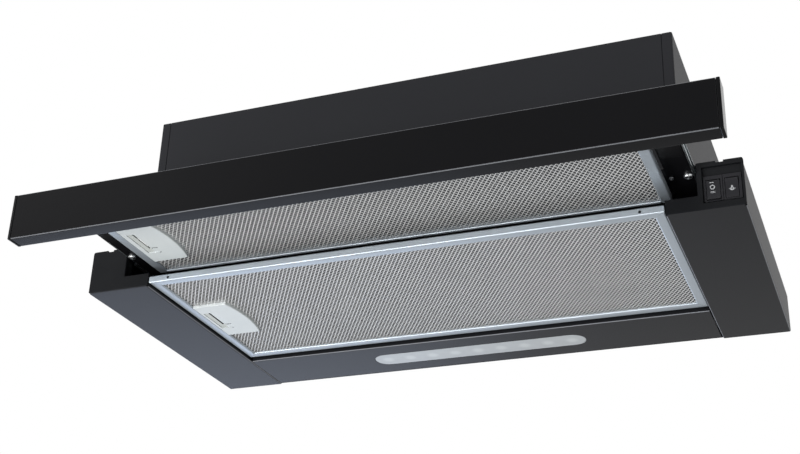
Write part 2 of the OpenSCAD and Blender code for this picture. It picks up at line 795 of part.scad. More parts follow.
module motor_bracket() color(zinc) {
    ring_x = -scroll_half - scroll_wall - 1.5;
    along_x(ring_x) difference() {
        cylinder(r = inlet_r + 8, h = 1.5, $fn = 96);
        translate([0, 0, -1]) cylinder(r = inlet_r, h = 4, $fn = 96);
    }
    along_x(motor_end - 1.5) cylinder(r = 20, h = 1.5);
    for (turn = [30, 150, 270]) {
        along_x(motor_end - 1.5) rotate([0, 0, turn]) translate([15, -6, 0]) cube([inlet_r - 10, 12, 1.5]);
        along_x(motor_end - 1) rotate([0, 0, turn]) translate([inlet_r + 3.4, -6, 0])
            cube([1.5, 12, ring_x - motor_end + 1.5]);
    }
}

module capacitor() color("#c9ccc9") {
    translate([-150, housing_back_y - 2 * sheet - 17, cap_h]) cylinder(r = 15, h = 56);
    translate([-150, housing_back_y - 2 * sheet - 17, cap_h + 56]) cylinder(r = 4, h = 8);
}

module terminal_box() color("#e6e6e0") difference() {
    block([120, housing_back_y - 2 * sheet - 42, cap_h], [200, housing_back_y - 2 * sheet, 80]);
    block([122, housing_back_y - 2 * sheet - 40, cap_h + 2], [198, housing_back_y - 2 * sheet - 2, 81]);
}

module cable_gland() color(black_plastic) translate([gland_x, gland_y, 0]) difference() {
    union() {
        translate([0, 0, housing_top_z]) cylinder(r = 11, h = 3);
        translate([0, 0, housing_top_z + 3]) cylinder(r1 = 8, r2 = 6, h = 12);
        translate([0, 0, housing_in_top - 6]) cylinder(r = gland_r - 0.1, h = 6 + sheet);
        translate([0, 0, housing_in_top - 4]) cylinder(r = 11, h = 4, $fn = 6);
    }
    translate([0, 0, housing_in_top - 8]) cylinder(r = cord_hole_r, h = 40);
}

/* ---- Outlet ---- */

// Holes for the four screws that fix the collar to the housing
module collar_screw_holes() {
    for (turn = [45 : 90 : 315])
        translate([0, outlet_y, 0]) rotate([0, 0, turn])
            translate([collar_screw_r, 0, housing_in_top - 1]) cylinder(r = 1.6, h = 6, $fn = 24);
}

module outlet_collar() color(black_plastic) difference() {
    collar_body();
    collar_screw_holes();
}

module collar_body() translate([0, outlet_y, 0]) difference() {
    union() {
        translate([0, 0, housing_top_z]) cylinder(r = collar_flange_r, h = collar_flange_t, $fn = 96);
        translate([0, 0, housing_top_z]) cylinder(r = collar_r, h = collar_top_z - housing_top_z, $fn = 96);
    }
    // Bore, with a ledge that the flaps rest on
    translate([0, 0, housing_top_z - 1]) cylinder(r = collar_in_r - 3, h = 40, $fn = 96);
    translate([0, 0, pin_z - 2.9]) cylinder(r = collar_in_r, h = 30, $fn = 96);
    for (side = [-1, 1]) {
        translate([side * pin_x, 0, pin_z]) rotate([90, 0, 0])
            cylinder(r = pin_r + 0.02, h = 2 * collar_r - 3, center = true);
    }
}

// One half of the damper, hinged near the middle
module flap(side) color("#4a4d52") translate([0, outlet_y, 0]) sided(side) difference() {
    union() {
        translate([0, 0, pin_z - 2.6]) linear_extrude(flap_t) intersection() {
            circle(r = flap_r, $fn = 96);
            translate([pin_x, -60]) square([60, 120]);
        }
        translate([pin_x, 0, pin_z]) rotate([90, 0, 0]) cylinder(r = 2.9, h = 70, center = true, $fn = 32);
        // Stiffening rib
        block([pin_x + 1, -1, pin_z - 2.6], [pin_x + 40, 1, pin_z]);
    }
    translate([pin_x, 0, pin_z]) rotate([90, 0, 0]) cylinder(r = pin_r + 0.06, h = 130, center = true);
}

module left_flap() flap(-1);
module right_flap() flap(1);

module flap_pins() color(zinc) translate([0, outlet_y, 0]) for (side = [-1, 1])
    translate([side * pin_x, 0, pin_z]) rotate([90, 0, 0])
        cylinder(r = pin_r, h = 2 * collar_r - 4, center = true);

module collar_screws() color("#3a3b3f") translate([0, outlet_y, 0]) for (turn = [45 : 90 : 315])
    rotate([0, 0, turn]) translate([collar_screw_r, 0, housing_top_z + collar_flange_t]) rotate([180, 0, 0])
        pan_screw(3.2, 2, 1.5, 5);

/* ---- Switch that the slider works ---- */

module micro_switch() color("#1b1b1d") difference() {
    union() {
        block([plunger_x - 4, plunger_y + 2.5, 22], [plunger_x + 4, plunger_y + 18, deck_under]);
        for (z = [26, 32])
            block([plunger_x - 2.5, plunger_y + 18, z], [plunger_x + 2.5, plunger_y + 24, z + 0.8]);
    }
    block([plunger_x - 1.6, plunger_y + 1, plunger_z - 1.6],
        [plunger_x + 1.6, plunger_y + 10, plunger_z + 1.6]);
}

module switch_plunger() color("#b03a2e")
    block([plunger_x - 1.3, plunger_y, plunger_z - 1.3], [plunger_x + 1.3, plunger_y + 7, plunger_z + 1.3]);

base_deck();
left_wing_cover();
right_wing_cover();
left_end_cap();
control_box();
speed_switch();
speed_rocker();
light_switch();
light_rocker();
lamp_panel();
lamp_lens();
led_board();
lamp_tray();
led_driver();
rear_filter_frame();
rear_filter_mesh();
rear_filter_handle();
rear_filter_latch();
front_filter_frame();
front_filter_mesh();
front_filter_handle();
front_filter_latch();
fascia_panel();
fascia_left_cap();
fascia_right_cap();
left_fascia_bracket();
right_fascia_bracket();
left_slider_member();
right_slider_member();
left_slide_rail();
right_slide_rail();
slider_crossbar();
slider_screws();
left_runner();
right_runner();
left_liner();
right_liner();
housing_front();
housing_left();
housing_right();
housing_back();
housing_top();
housing_screws();
fan_scroll();
impeller();
motor();
motor_shaft();
motor_bracket();
capacitor();
terminal_box();
cable_gland();
outlet_collar();
left_flap();
right_flap();
flap_pins();
collar_screws();
micro_switch();
switch_plunger();
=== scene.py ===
"""Finished pieces, materials, light and camera of the pull-out range hood."""
import json
from math import cos, pi, radians, sin

import bmesh
import bpy
from mathutils import Matrix, Vector

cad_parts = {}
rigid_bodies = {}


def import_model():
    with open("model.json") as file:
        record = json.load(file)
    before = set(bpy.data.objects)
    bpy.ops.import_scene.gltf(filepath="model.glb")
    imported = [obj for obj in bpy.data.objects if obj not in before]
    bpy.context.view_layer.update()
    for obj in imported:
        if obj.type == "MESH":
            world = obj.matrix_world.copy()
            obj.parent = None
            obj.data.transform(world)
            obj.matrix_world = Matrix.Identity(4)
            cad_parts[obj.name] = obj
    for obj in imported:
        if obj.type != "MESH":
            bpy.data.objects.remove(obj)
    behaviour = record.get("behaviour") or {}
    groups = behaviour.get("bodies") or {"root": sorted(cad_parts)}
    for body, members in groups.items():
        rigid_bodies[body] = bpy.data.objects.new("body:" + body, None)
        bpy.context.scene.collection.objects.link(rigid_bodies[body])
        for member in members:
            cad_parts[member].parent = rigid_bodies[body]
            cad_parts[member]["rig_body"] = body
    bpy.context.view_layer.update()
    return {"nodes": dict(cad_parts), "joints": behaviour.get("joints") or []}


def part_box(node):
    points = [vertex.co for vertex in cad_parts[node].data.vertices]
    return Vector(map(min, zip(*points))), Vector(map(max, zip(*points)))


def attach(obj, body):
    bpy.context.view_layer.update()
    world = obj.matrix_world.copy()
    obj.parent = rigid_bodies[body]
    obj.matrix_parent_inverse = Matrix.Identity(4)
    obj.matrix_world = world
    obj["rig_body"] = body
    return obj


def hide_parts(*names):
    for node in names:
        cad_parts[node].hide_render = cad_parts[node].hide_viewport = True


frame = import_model()
scene = bpy.context.scene
scene.view_settings.view_transform = "Standard"

MM = 0.001
SHEET = 1.0 * MM
BEND = 1.3 * MM
CUT_EDGE = 0.45 * MM
X, Y, Z = 0, 1, 2


# ---- Camera ----

def make_camera():
    """Below and in front of the hood, a little to its right."""
    position = Vector((0.3994, -1.0270, -0.4747))
    azimuth, elevation, roll = radians(-22.32), radians(25.91), radians(2.03)
    focal_length = 60.06
    forward = Vector((sin(azimuth) * cos(elevation), cos(azimuth) * cos(elevation), sin(elevation)))
    level = Vector((cos(azimuth), -sin(azimuth), 0))
    upright = level.cross(forward)
    right = level * cos(roll) + upright * sin(roll)
    up = upright * cos(roll) - level * sin(roll)
    data = bpy.data.cameras.new("camera")
    data.sensor_width = 36
    data.lens = focal_length
    camera = bpy.data.objects.new("camera", data)
    camera.matrix_world = Matrix.Translation(position) @ Matrix((right, up, -forward)).transposed().to_4x4()
    scene.collection.objects.link(camera)
    scene.camera = camera


# ---- Materials ----

def colour(code):
    """Linear RGBA of an sRGB hex value."""
    parts = [int(code[i:i + 2], 16) / 255 for i in (1, 3, 5)]
    return (*[p / 12.92 if p <= 0.04045 else ((p + 0.055) / 1.055) ** 2.4 for p in parts], 1)


def add(material, kind, inputs=None, **settings):
    """Adds a node with its settings, and fills or links its inputs."""
    made = material.node_tree.nodes.new(kind)
    for name, value in settings.items():
        setattr(made, name, value)
    for name, value in (inputs or {}).items():
        if isinstance(value, bpy.types.NodeSocket):
            material.node_tree.links.new(value, made.inputs[name])
        else:
            made.inputs[name].default_value = value
    return made


def mix(material, factor, first, second):
    """A colour between two others. A mix node's colours are its inputs 6 and 7, and its output 2."""
    return add(material, "ShaderNodeMix", {0: factor, 6: first, 7: second}, data_type="RGBA").outputs[2]


def finish_of(name, base, roughness, metallic=0.0, specular=0.5, tint=None, patch=30 * MM, grain=0.8 * MM,
              relief=0.01 * MM, rough_swing=0.04, stretch=(1, 1, 1), bend_highlight=""):
    """A Principled material: slow colour variation, a fine grain, and a paler tone painted on bends as a
    highlight.
    """
    material = bpy.data.materials.new(name)
    material.use_nodes = True
    shader = material.node_tree.nodes["Principled BSDF"]
    link = material.node_tree.links.new
    shader.inputs["Metallic"].default_value = metallic
    shader.inputs["Specular IOR Level"].default_value = specular
    place = add(material, "ShaderNodeTexCoord").outputs["Object"]
    along = add(material, "ShaderNodeMapping", {"Vector": place, "Scale": stretch}).outputs["Vector"]
    cloud = add(material, "ShaderNodeTexNoise", {"Vector": place, "Scale": 1 / patch, "Detail": 3.0})
    mixed = mix(material, cloud.outputs["Fac"], colour(base), colour(tint or base))
    if bend_highlight:
        # Painted highlight: flat faces look along an axis, bends and broken edges look between two and get
        # the paler tone
        flat, bent = 0.97, 0.82
        normal = add(material, "ShaderNodeTexCoord").outputs["Normal"]
        size = add(material, "ShaderNodeVectorMath", {0: normal}, operation="ABSOLUTE")
        split = add(material, "ShaderNodeSeparateXYZ", {"Vector": size.outputs[0]})
        most = split.outputs["X"]
        for axis in "YZ":
            larger = add(material, "ShaderNodeMath", {0: most, 1: split.outputs[axis]}, operation="MAXIMUM")
            most = larger.outputs[0]
        edge = add(material, "ShaderNodeMapRange", {"Value": most, "From Min": flat, "From Max": bent})
        mixed = mix(material, edge.outputs["Result"], mixed, colour(bend_highlight))
    link(mixed, shader.inputs["Base Color"])
    fine = add(material, "ShaderNodeTexNoise", {"Vector": along, "Scale": 1 / grain, "Detail": 2.0})
    rough = add(material, "ShaderNodeMapRange",
                {"Value": fine.outputs["Fac"], "From Min": 0.3, "From Max": 0.7,
                 "To Min": roughness - rough_swing, "To Max": roughness + rough_swing})
    link(rough.outputs["Result"], shader.inputs["Roughness"])
    bump = add(material, "ShaderNodeBump",
               {"Height": fine.outputs["Fac"], "Strength": 1.0, "Distance": relief})
    link(bump.outputs["Normal"], shader.inputs["Normal"])
    return material


def make_lens_material():
    """Frosted polycarbonate: a pale matt skin that dims a row of LEDs to faint soft spots."""
    low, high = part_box("lamp_lens")
    middle = (low + high) / 2
    led_pitch, spot_core, spot_edge = 24.1 * MM, 2 * MM, 8 * MM
    material = finish_of("frosted polycarbonate", "#a6abae", 0.42, specular=0.4, tint="#b0b5b7", patch=9 * MM,
                         grain=1.2 * MM, relief=0.03 * MM)
    shader = material.node_tree.nodes["Principled BSDF"]
    place = add(material, "ShaderNodeTexCoord").outputs["Object"]
    centred = add(material, "ShaderNodeMapping", {"Vector": place, "Location": (-middle.x, -middle.y, 0)})
    split = add(material, "ShaderNodeSeparateXYZ", {"Vector": centred.outputs["Vector"]})
    # Distance along the row to the nearest LED
    step = add(material, "ShaderNodeMath", {0: split.outputs["X"], 1: led_pitch}, operation="DIVIDE")
    wave = add(material, "ShaderNodeMath", {0: step.outputs[0], 1: 0.5}, operation="PINGPONG")
    near = add(material, "ShaderNodeMath", {0: wave.outputs[0], 1: led_pitch}, operation="MULTIPLY")
    both = add(material, "ShaderNodeCombineXYZ", {"X": near.outputs[0], "Y": split.outputs["Y"]})
    reach = add(material, "ShaderNodeVectorMath", {0: both.outputs[0]}, operation="LENGTH")
    spot = add(material, "ShaderNodeMapRange",
               {"Value": reach.outputs["Value"], "From Min": spot_core, "From Max": spot_edge,
                "To Min": 1.0, "To Max": 0.0}, interpolation_type="SMOOTHSTEP")
    base = shader.inputs["Base Color"].links[0].from_socket
    lit = mix(material, spot.outputs["Result"], base, colour("#bcc1c2"))
    material.node_tree.links.new(lit, shader.inputs["Base Color"])
    return material


# Satin lacquer on the slider's fascia: the deepest black, almost smooth, with a highlight painted on its
# bends
LACQUER = finish_of("satin black lacquer", "#08080a", 0.34, specular=0.07, tint="#0b0b0d", patch=70 * MM,
                    grain=0.9 * MM, relief=0.005 * MM, bend_highlight="#6a6c70")
# Polyester powder coat on the wings and the lamp panel: satin black, with a faint orange peel and a highlight
# painted on its bends
POWDER_COAT = finish_of("satin black powder coat", "#101114", 0.46, specular=0.14, tint="#141518",
                        patch=60 * MM, grain=1.1 * MM, relief=0.012 * MM, bend_highlight="#808287")
# Rougher powder coat of the housing and the deck: it scatters light to a dull charcoal
HOUSING_COAT = finish_of("matt charcoal powder coat", "#15161a", 0.52, specular=0.17, tint="#191a1e",
                         patch=80 * MM, grain=0.9 * MM, relief=0.02 * MM)
# Polished black ABS on the fascia's ends: it mirrors the room at a glancing look
GLOSS_ABS = finish_of("polished black ABS", "#070709", 0.16, specular=0.08, tint="#0a0a0c", patch=12 * MM,
                      grain=0.6 * MM, relief=0.003 * MM)
# Spark-eroded ABS: matt black with a fine even grain that scatters light
BLACK_ABS = finish_of("textured black ABS", "#121315", 0.55, specular=0.08, tint="#17181a", patch=14 * MM,
                      grain=0.45 * MM, relief=0.05 * MM, rough_swing=0.08)
# Moulded PA rocker: a little smoother than the box round it
ROCKER_PA = finish_of("moulded black PA", "#1f1f22", 0.42, specular=0.15, tint="#252528", patch=6 * MM,
                      grain=0.3 * MM, relief=0.02 * MM)
# Pad-printed white ink
PRINTED_INK = finish_of("white pad-printed ink", "#9c9ea0", 0.5, tint="#acaeb0", patch=2 * MM, grain=0.2 * MM,
                        relief=0.004 * MM)
# Drawn channel with black electrocoat: darker and glossier than the powder coat
ELECTROCOAT = finish_of("black electrocoat", "#0a0a0c", 0.34, specular=0.12, tint="#0e0e10", patch=20 * MM,
                        grain=0.7 * MM, relief=0.008 * MM)
# Mill-finish aluminium strip: oxidised, so it is part matt, with faint drawn lines along X
MILL_ALUMINIUM = finish_of("mill-finish aluminium", "#b2bac1", 0.42, metallic=0.65, tint="#a6afb7",
                           patch=45 * MM, grain=0.5 * MM, relief=0.006 * MM, rough_swing=0.06,
                           stretch=(0.02, 1, 1))
# Expanded aluminium: freshly cut strands, paler than the strip
STRAND_ALUMINIUM = finish_of("expanded aluminium", "#dededd", 0.5, metallic=0.35, tint="#d0d0cf",
                             patch=25 * MM, grain=0.6 * MM, relief=0.02 * MM, rough_swing=0.08)
# The layers inside a filter: the same aluminium, dull and grey, darkened as painted shade for layers in each
# other's shadow
SHADED_INNER_ALUMINIUM = finish_of("inner aluminium darkened as painted shade", "#6c6e71", 0.45, metallic=0.9, tint="#77797b",
                            patch=25 * MM, grain=0.6 * MM, relief=0.02 * MM, rough_swing=0.08)
# Zinc plate on steel: grey with a soft cloudy shine
ZINC_PLATE = finish_of("zinc plate", "#c4cbcd", 0.32, metallic=1.0, tint="#adb5b9", patch=7 * MM,
                       grain=0.6 * MM, relief=0.008 * MM, rough_swing=0.08)
# Nickel-plated screws
NICKEL_PLATE = finish_of("nickel plate", "#dcdede", 0.28, metallic=1.0, tint="#bfc2c4", patch=3 * MM,
                         grain=0.4 * MM, relief=0.004 * MM)
# Light grey moulded ABS of the handles: matt, very fine grain
GREY_ABS = finish_of("light grey moulded ABS", "#c1c7c8", 0.48, specular=0.4, tint="#c8cdcd", patch=22 * MM,
                     grain=0.4 * MM, relief=0.012 * MM)
# The latches: a shade darker as painted shade of their sloped faces, and a little greener
SHADED_LATCH_ABS = finish_of("grey-green moulded ABS", "#b6bbb8", 0.52, specular=0.4, tint="#bcc0bc", patch=12 * MM,
                      grain=0.4 * MM, relief=0.012 * MM)
LENS = make_lens_material()
# Phosphate coat on the rivets: dull grey with a metal glint
PHOSPHATE = finish_of("phosphated steel", "#77797c", 0.3, metallic=1.0, tint="#6a6c6f", patch=3 * MM,
                      grain=0.4 * MM, relief=0.004 * MM)
# Black oxide on the screws of the housing and collar and the filters' hooks, and on the handles' dark pins,
# which stand in the holes as painted shade
BLACK_OXIDE = finish_of("black oxide steel", "#1a1a1c", 0.35, metallic=0.6, tint="#232326", patch=3 * MM,
                        grain=0.4 * MM, relief=0.006 * MM)
# Inner pieces: moulded PP, off-white PA, painted motor shell, solder mask and acetal
DARK_PP = finish_of("dark grey moulded PP", "#3a3d41", 0.5, specular=0.4, tint="#42454a", patch=25 * MM,
                    grain=0.8 * MM, relief=0.02 * MM)
WHITE_PA = finish_of("off-white moulded PA", "#d6d6d0", 0.45, specular=0.4, tint="#dddcd5", patch=18 * MM,
                     grain=0.6 * MM, relief=0.015 * MM)
MOTOR_SHELL = finish_of("grey painted motor shell", "#6f747a", 0.4, metallic=0.5, tint="#5f646a",
                        patch=12 * MM, grain=0.7 * MM, relief=0.02 * MM)
SOLDER_MASK = finish_of("white solder mask", "#e4e7e2", 0.35, tint="#dde2dc", patch=9 * MM, grain=0.5 * MM,
                        relief=0.005 * MM)
RED_ACETAL = finish_of("red acetal", "#a3352a", 0.35, tint="#ad3b2f", patch=4 * MM, grain=0.3 * MM,
                       relief=0.004 * MM)


# ---- Modelling ----

def corner(axis, place, pair):
    """A point from its place along an axis and its two other coordinates."""
    point = list(pair)
    point.insert(axis, place)
    return Vector(point)


def block(bm, low, high):
    """Adds a box between two corners, and gives its vertices."""
    low, high = Vector(low), Vector(high)
    place = Matrix.Translation((low + high) / 2) @ Matrix.Diagonal((*(high - low), 1))
    return bmesh.ops.create_cube(bm, size=1, matrix=place)["verts"]


def points_of(result):
    """The vertices in what an operator gives back."""
    return [part for part in result["geom"] if isinstance(part, bmesh.types.BMVert)]


def sharp_edges(bm, angle):
    """The edges between two faces that turn by more than an angle in degrees."""
    return [e for e in bm.edges if e.calc_face_angle(0) > radians(angle)]


def round_edges(bm, edges, radius, segments=3):
    """Rounds edges to a radius."""
    bmesh.ops.bevel(bm, geom=list(edges), offset=radius, segments=segments, affect="EDGES", profile=0.5,
                    material=-1, clamp_overlap=True)


def drawn_out(outline, axis, start, end, edge=0.0):
    """A closed outline drawn out along an axis, with all its edges rounded."""
    bm = bmesh.new()
    face = bm.faces.new([bm.verts.new(corner(axis, start, pair)) for pair in outline])
    moved = points_of(bmesh.ops.extrude_face_region(bm, geom=[face]))
    bmesh.ops.translate(bm, vec=corner(axis, end - start, (0, 0)), verts=moved)
    bmesh.ops.recalc_face_normals(bm, faces=bm.faces)
    if edge:
        round_edges(bm, sharp_edges(bm, 25), edge)
    return bm


def rounded_block(low, high, radius, segments=2):
    """A box between two corners with all its edges rounded."""
    bm = bmesh.new()
    block(bm, low, high)
    round_edges(bm, bm.edges, radius, segments)
    return bm


def turned(points, steps, closed=True):
    """A profile of radii and heights spun about the Z axis."""
    bm = bmesh.new()
    loop = [bm.verts.new((radius, 0, height)) for radius, height in points]
    edges = [bm.edges.new(pair) for pair in zip(loop, loop[1:] + (loop[:1] if closed else []))]
    bmesh.ops.spin(bm, geom=loop + edges, axis=(0, 0, 1), angle=2 * pi, steps=steps, use_merge=True)
    bmesh.ops.remove_doubles(bm, verts=bm.verts, dist=0.001 * MM)
    bmesh.ops.recalc_face_normals(bm, faces=bm.faces)
    return bm


def folded(profile, axis, start, end, inside, bend=BEND):
    """The outer skin of a sheet folded along a profile and drawn out along an axis."""
    bm = bmesh.new()
    corners = [bm.verts.new(corner(axis, start, pair)) for pair in profile]
    edges = [bm.edges.new(pair) for pair in zip(corners, corners[1:])]
    moved = points_of(bmesh.ops.extrude_edge_only(bm, edges=edges))
    bmesh.ops.translate(bm, vec=corner(axis, end - start, (0, 0)), verts=moved)
    turn_out(bm, corner(axis, (start + end) / 2, inside))
    round_edges(bm, [e for e in bm.edges if len(e.link_faces) == 2], bend, 4)
    return bm


def turn_out(bm, inside):
    """Turns each face away from a point inside."""
    bm.normal_update()
    for face in bm.faces:
        if face.normal.dot(face.calc_center_median() - inside) < 0:
            face.normal_flip()


def thicken(bm, thickness=SHEET, burr=0.0):
    """Gives a skin its thickness on the inner side, and breaks its cut edges."""
    bmesh.ops.solidify(bm, geom=bm.verts[:] + bm.edges[:] + bm.faces[:], thickness=thickness)
    if burr:
        round_edges(bm, sharp_edges(bm, 60), burr, 2)


def window(bm, low, high):
    """Opens a box-shaped window in a skin: it is cut along the box's sides, and what lies inside goes."""
    for axis in (X, Y, Z):
        for bound in (low[axis], high[axis]):
            normal = corner(axis, 1, (0, 0))
            bmesh.ops.bisect_plane(bm, geom=bm.verts[:] + bm.edges[:] + bm.faces[:],
                                   plane_co=normal * bound, plane_no=normal)
    gone = [f for f in bm.faces if all(low[i] < f.calc_center_median()[i] < high[i] for i in (X, Y, Z))]
    bmesh.ops.delete(bm, geom=gone, context="FACES")


def mirrored(bm):
    """The same shape on the other side of the middle plane."""
    bmesh.ops.scale(bm, vec=(-1, 1, 1), verts=bm.verts)
    bmesh.ops.reverse_faces(bm, faces=bm.faces)
    return bm


def joined(parts):
    """Several shapes in one mesh."""
    whole = bmesh.new()
    for part in parts:
        mesh = bpy.data.meshes.new("part")
        part.to_mesh(mesh)
        part.free()
        whole.from_mesh(mesh)
        bpy.data.meshes.remove(mesh)
    return whole


def piece(name, bm, material, body, nodes=(), sharp=32):
    """Makes a finished piece that rides on a body and stands for the CAD nodes named."""
    mesh = bpy.data.meshes.new(name)
    bm.to_mesh(mesh)
    bm.free()
    mesh.materials.append(material)
    mesh.shade_smooth()
    mesh.set_sharp_from_angle(angle=radians(sharp))
    made = bpy.data.objects.new(name, mesh)
    scene.collection.objects.link(made)
    even = made.modifiers.new("even normals", "WEIGHTED_NORMAL")
    even.keep_sharp = True
    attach(made, body)
    if nodes:
        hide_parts(*nodes)
    return made


def drill(made, tool):
    """Cuts a tool's shape out of a piece."""
    mesh = bpy.data.meshes.new("tool")
    tool.to_mesh(mesh)
    tool.free()
    cutter = bpy.data.objects.new("tool", mesh)
    scene.collection.objects.link(cutter)
    cut = made.modifiers.new("drill", "BOOLEAN")
    made.modifiers.move(len(made.modifiers) - 1, 0)
    cut.object = cutter
    even = made.modifiers["even normals"]
    even.show_viewport = False
    bpy.context.view_layer.update()
    result = bpy.data.meshes.new_from_object(made.evaluated_get(bpy.context.evaluated_depsgraph_get()))
    result.name = made.name
    made.modifiers.remove(cut)
    even.show_viewport = True
    made.data = result
    bpy.data.objects.remove(cutter)


def rod(radius, axis, start, end, pair, segments=32):
    """A cylinder along an axis."""
    bm = bmesh.new()
    turn = {X: Matrix.Rotation(pi / 2, 4, "Y"), Y: Matrix.Rotation(pi / 2, 4, "X"), Z: Matrix()}[axis]
    place = Matrix.Translation(corner(axis, (start + end) / 2, pair)) @ turn
    bmesh.ops.create_cone(bm, cap_ends=True, segments=segments, radius1=radius, radius2=radius,
                          depth=abs(end - start), matrix=place)
    return bm


def softened(node, material, width, segments=2):
    """A CAD node's own solid with its hard edges broken."""
    source = frame["nodes"][node]
    bm = bmesh.new()
    bm.from_mesh(source.data)
    bmesh.ops.remove_doubles(bm, verts=bm.verts, dist=0.002 * MM)
    bmesh.ops.dissolve_limit(bm, angle_limit=radians(1), verts=bm.verts, edges=bm.edges)
    made = piece(node + "_skin", bm, material, source["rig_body"], [node])
    soft = made.modifiers.new("broken edges", "BEVEL")
    soft.width = width
    soft.segments = segments
    soft.limit_method = "ANGLE"
    soft.angle_limit = radians(35)
    soft.miter_outer = "MITER_ARC"
    made.modifiers.move(1, 0)
    return made


# ---- Slider ----

def make_fascia():
    low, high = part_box("fascia_panel")
    lower_lip, upper_lip = low.z + 7 * MM, high.z - 20 * MM
    seam, cap_width, plug, wall = 0.25 * MM, 3 * MM, 7 * MM, 1.4 * MM
    profile = [(high.y, lower_lip), (high.y, low.z), (low.y, low.z), (low.y, high.z), (high.y, high.z),
               (high.y, upper_lip)]
    bm = folded(profile, X, low.x + seam, high.x - seam, ((low.y + high.y) / 2, (low.z + high.z) / 2))
    thicken(bm, burr=CUT_EDGE)
    piece("fascia_shell", bm, LACQUER, "slider", ["fascia_panel"])
    for side, node in ((-1, "fascia_left_cap"), (1, "fascia_right_cap")):
        low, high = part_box(node)
        outer = max(abs(low.x), abs(high.x))
        inner = outer - cap_width
        face = rounded_block((inner, low.y, low.z), (outer, high.y, high.z), 0.7 * MM, 3)
        tongue = bmesh.new()
        block(tongue, (inner - plug, low.y + wall, low.z + wall),
              (inner + 1 * MM, high.y - wall, high.z - wall))
        cap = joined([face, tongue])
        piece(node + "_moulding", cap if side > 0 else mirrored(cap), GLOSS_ABS, "slider", [node])


def make_slider_frame():
    for side in ("left", "right"):
        softened(side + "_slider_member", ELECTROCOAT, 0.3 * MM)
        softened(side + "_fascia_bracket", ELECTROCOAT, 0.4 * MM)
    softened("slider_crossbar", ELECTROCOAT, 0.3 * MM)
    low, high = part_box("right_slide_rail")
    for side, node in ((-1, "left_slide_rail"), (1, "right_slide_rail")):
        # A thin channel on the member's outer side, open outwards
        profile = [(high.x, low.z), (low.x, low.z), (low.x, high.z), (high.x, high.z)]
        channel = folded(profile, Y, low.y, high.y, (high.x, (low.z + high.z) / 2), bend=0.3 * MM)
        thicken(channel, 0.5 * MM, 0.1 * MM)
        piece(node + "_channel", channel if side > 0 else mirrored(channel), ZINC_PLATE, "slider", [node])


# ---- Filters ----

FLANGE = 9 * MM
LIP = 1.9 * MM
STRIP = 0.6 * MM
RAIL_HEIGHT = 6.7 * MM
HANDLE_HALF = 36 * MM
# How far the rear filter's hooks stand from its middle
REAR_HOOK_SPREAD = 45 * MM


def frame_rail(length, height, flange, mitres):
    """One rail of a filter frame along X: outer face at Y 0, open towards +Y, ends mitred or square."""
    seam = 0.12 * MM
    profile = [(flange, LIP), (flange, 0), (0, 0), (0, height), (flange, height), (flange, height - LIP)]
    bm = folded(profile, X, -length / 2, length / 2, (flange / 2, height / 2), bend=min(BEND, flange / 3))
    for vert in bm.verts:
        side = 1 if vert.co.x > 0 else -1
        vert.co.x -= side * (seam + (vert.co.y if mitres[side] else 0))
    thicken(bm, STRIP, 0.1 * MM)
    return bm


def filter_frame(width, depth, middle, height, rear_flange):
    """Four rails round the box of a filter. A narrow rear rail stands square between the side rails."""
    narrow = rear_flange < FLANGE
    rear_length = width - 2 * FLANGE if narrow else width
    rails = [(width, depth, FLANGE, {1: True, -1: True}),
             (depth, width, FLANGE, {1: not narrow, -1: True}),
             (rear_length, depth, rear_flange, {1: not narrow, -1: not narrow}),
             (depth, width, FLANGE, {1: True, -1: not narrow})]
    parts = []
    for turn, (length, reach, flange, mitres) in enumerate(rails):
        rail = frame_rail(length, height, flange, mitres)
        place = Matrix.Translation(middle) @ Matrix.Rotation(turn * pi / 2, 4, "Z")
        bmesh.ops.transform(rail, verts=rail.verts, matrix=place @ Matrix.Translation((0, -reach / 2, 0)))
        parts.append(rail)
    if narrow:
        # A rolled hem closes the rear edge
        hem, setback, sag = 1.1 * MM, 1.0 * MM, 0.4 * MM
        parts.append(rod(hem, X, -rear_length / 2, rear_length / 2,
                         (middle.y + depth / 2 - hem - setback, middle.z + hem - sag), 24))
    return joined(parts)


def expanded_sheet(low, high, pitch, strand, level, hollow):
    """Expanded metal: a grid turned to diamonds, cropped to a rectangle and opened to its strands."""
    bow, lean, thickness = 0.2 * MM, 0.1 * MM, 0.2 * MM
    wave_x, wave_y = 17 * MM, 31 * MM
    width, depth = high[0] - low[0], high[1] - low[1]
    cells = int(width / pitch[0] + depth / pitch[1]) + 2
    bm = bmesh.new()
    bmesh.ops.create_grid(bm, x_segments=cells, y_segments=cells, size=cells / 2)
    stretch = Matrix.Diagonal((pitch[0] / 2 ** 0.5, pitch[1] / 2 ** 0.5, 1, 1))
    shape = stretch @ Matrix.Rotation(pi / 4, 4, "Z")
    middle = Matrix.Translation(((low[0] + high[0]) / 2, (low[1] + high[1]) / 2, 0))
    bmesh.ops.transform(bm, verts=bm.verts, matrix=middle @ shape)
    for point, normal in (((low[0], 0, 0), (-1, 0, 0)), ((high[0], 0, 0), (1, 0, 0)),
                          ((0, low[1], 0), (0, -1, 0)), ((0, high[1], 0), (0, 1, 0))):
        bmesh.ops.bisect_plane(bm, geom=bm.verts[:] + bm.edges[:] + bm.faces[:],
                               plane_co=point, plane_no=normal, clear_outer=True)
    covered = [f for f in bm.faces if hollow(f.calc_center_median())]
    bmesh.ops.delete(bm, geom=covered, context="FACES")
    # The sheet is drawn slightly uneven, as it comes off the press
    for vert in bm.verts:
        vert.co.z = level + bow * sin(vert.co.x / wave_x + 2 * sin(vert.co.y / wave_y))
    turn_out(bm, Vector((0, 0, 1)))
    cells = bm.faces[:]
    bmesh.ops.inset_individual(bm, faces=cells, thickness=strand / 2, depth=-lean, use_even_offset=True)
    bmesh.ops.delete(bm, geom=cells, context="FACES")
    thicken(bm, thickness)
    return bm


